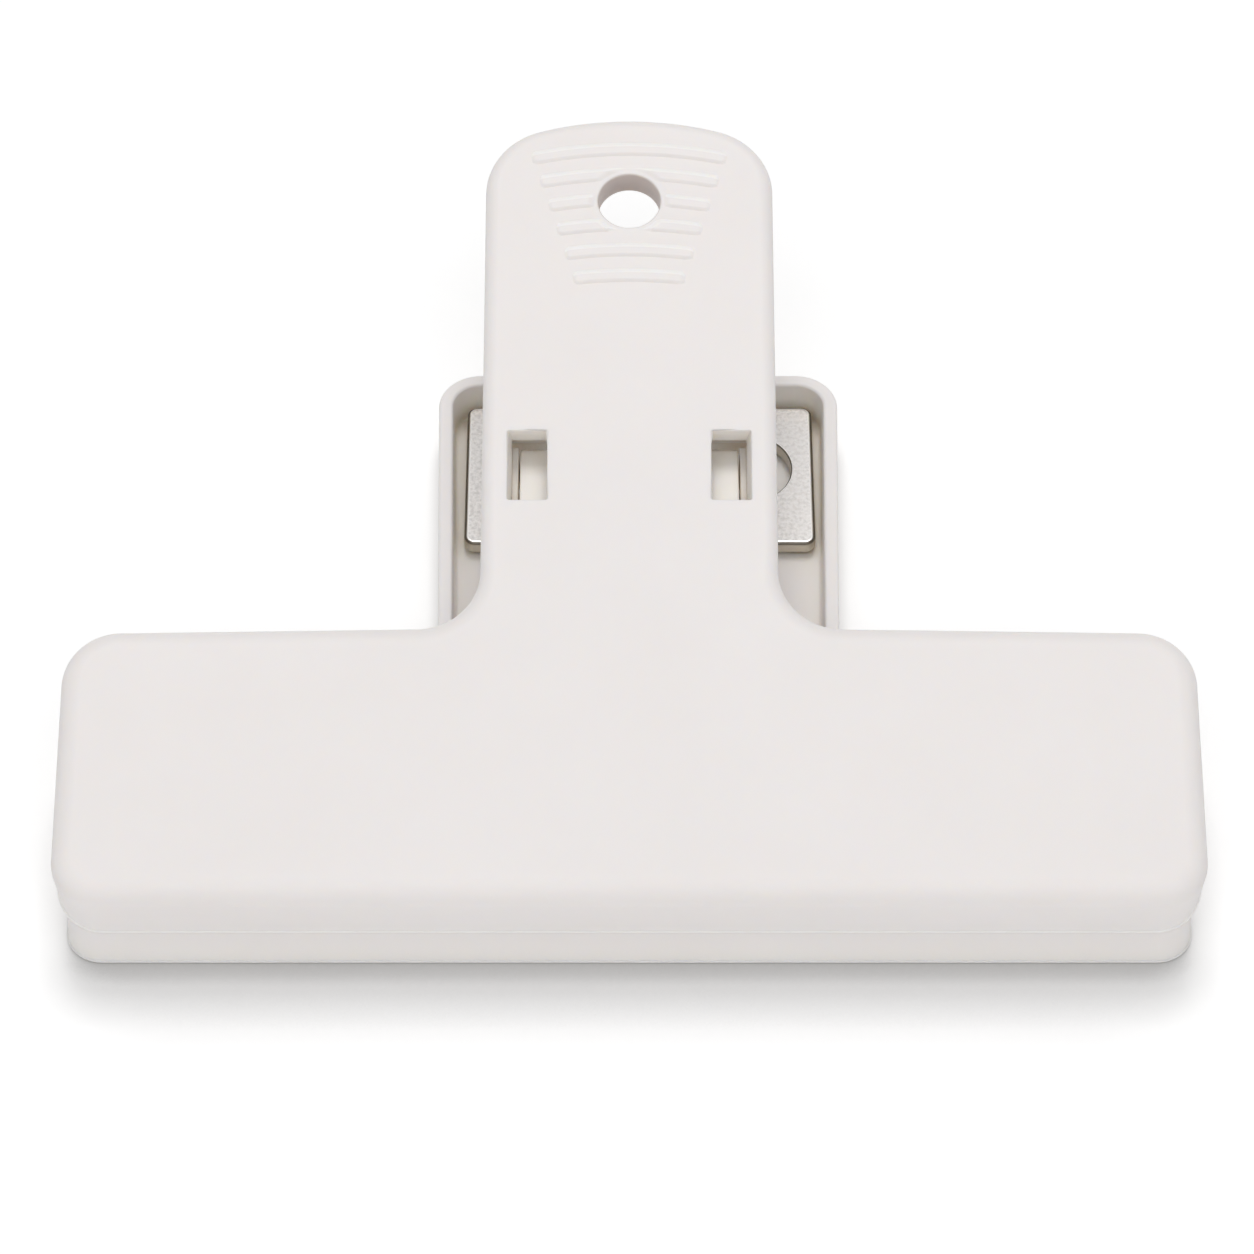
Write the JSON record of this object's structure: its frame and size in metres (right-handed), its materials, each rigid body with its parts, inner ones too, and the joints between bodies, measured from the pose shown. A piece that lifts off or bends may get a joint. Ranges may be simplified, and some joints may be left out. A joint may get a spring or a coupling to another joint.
{
  "type": "magnetic clip",
  "caption": "Wide sprung paper clip of white plastic with a T-shaped front lever, a hanging hole, grip ribs and a magnet plate in the rear tray.",
  "frame": {"origin": "on the flat back face, straight below the hinge pin and midway between the jaw's ends", "axes": "+X along the jaws, +Y from the jaws towards the handles, +Z from the back face towards the front"},
  "size_m": [0.1016, 0.0791, 0.0297],
  "materials": {
    "white_plastic": "satin moulded plastic, warm white",
    "nickel_plating": "bright nickel plating with a fine mottled grain",
    "pin_steel": "drawn steel",
    "spring_steel": "plated spring wire",
    "bonding_pad": "thin translucent bonding pad"
  },
  "bodies": {
    "rear": {"rear_jaw": "white_plastic", "magnet": "nickel_plating", "adhesive_pad": "bonding_pad", "hinge_pin": "pin_steel", "torsion_spring": "spring_steel"},
    "front": {"front_jaw": "white_plastic"}
  },
  "joints": [
    {"name": "jaw_hinge", "type": "hinge", "parent": "rear", "child": "front", "pos_m": [0, 0, 0.01529], "axis": [-1, 0, 0], "range_deg": [0, 38], "stiffness_Nm_per_rad": 0.6, "springref_deg": -34.38, "deforming": ["torsion_spring"]}
  ]
}
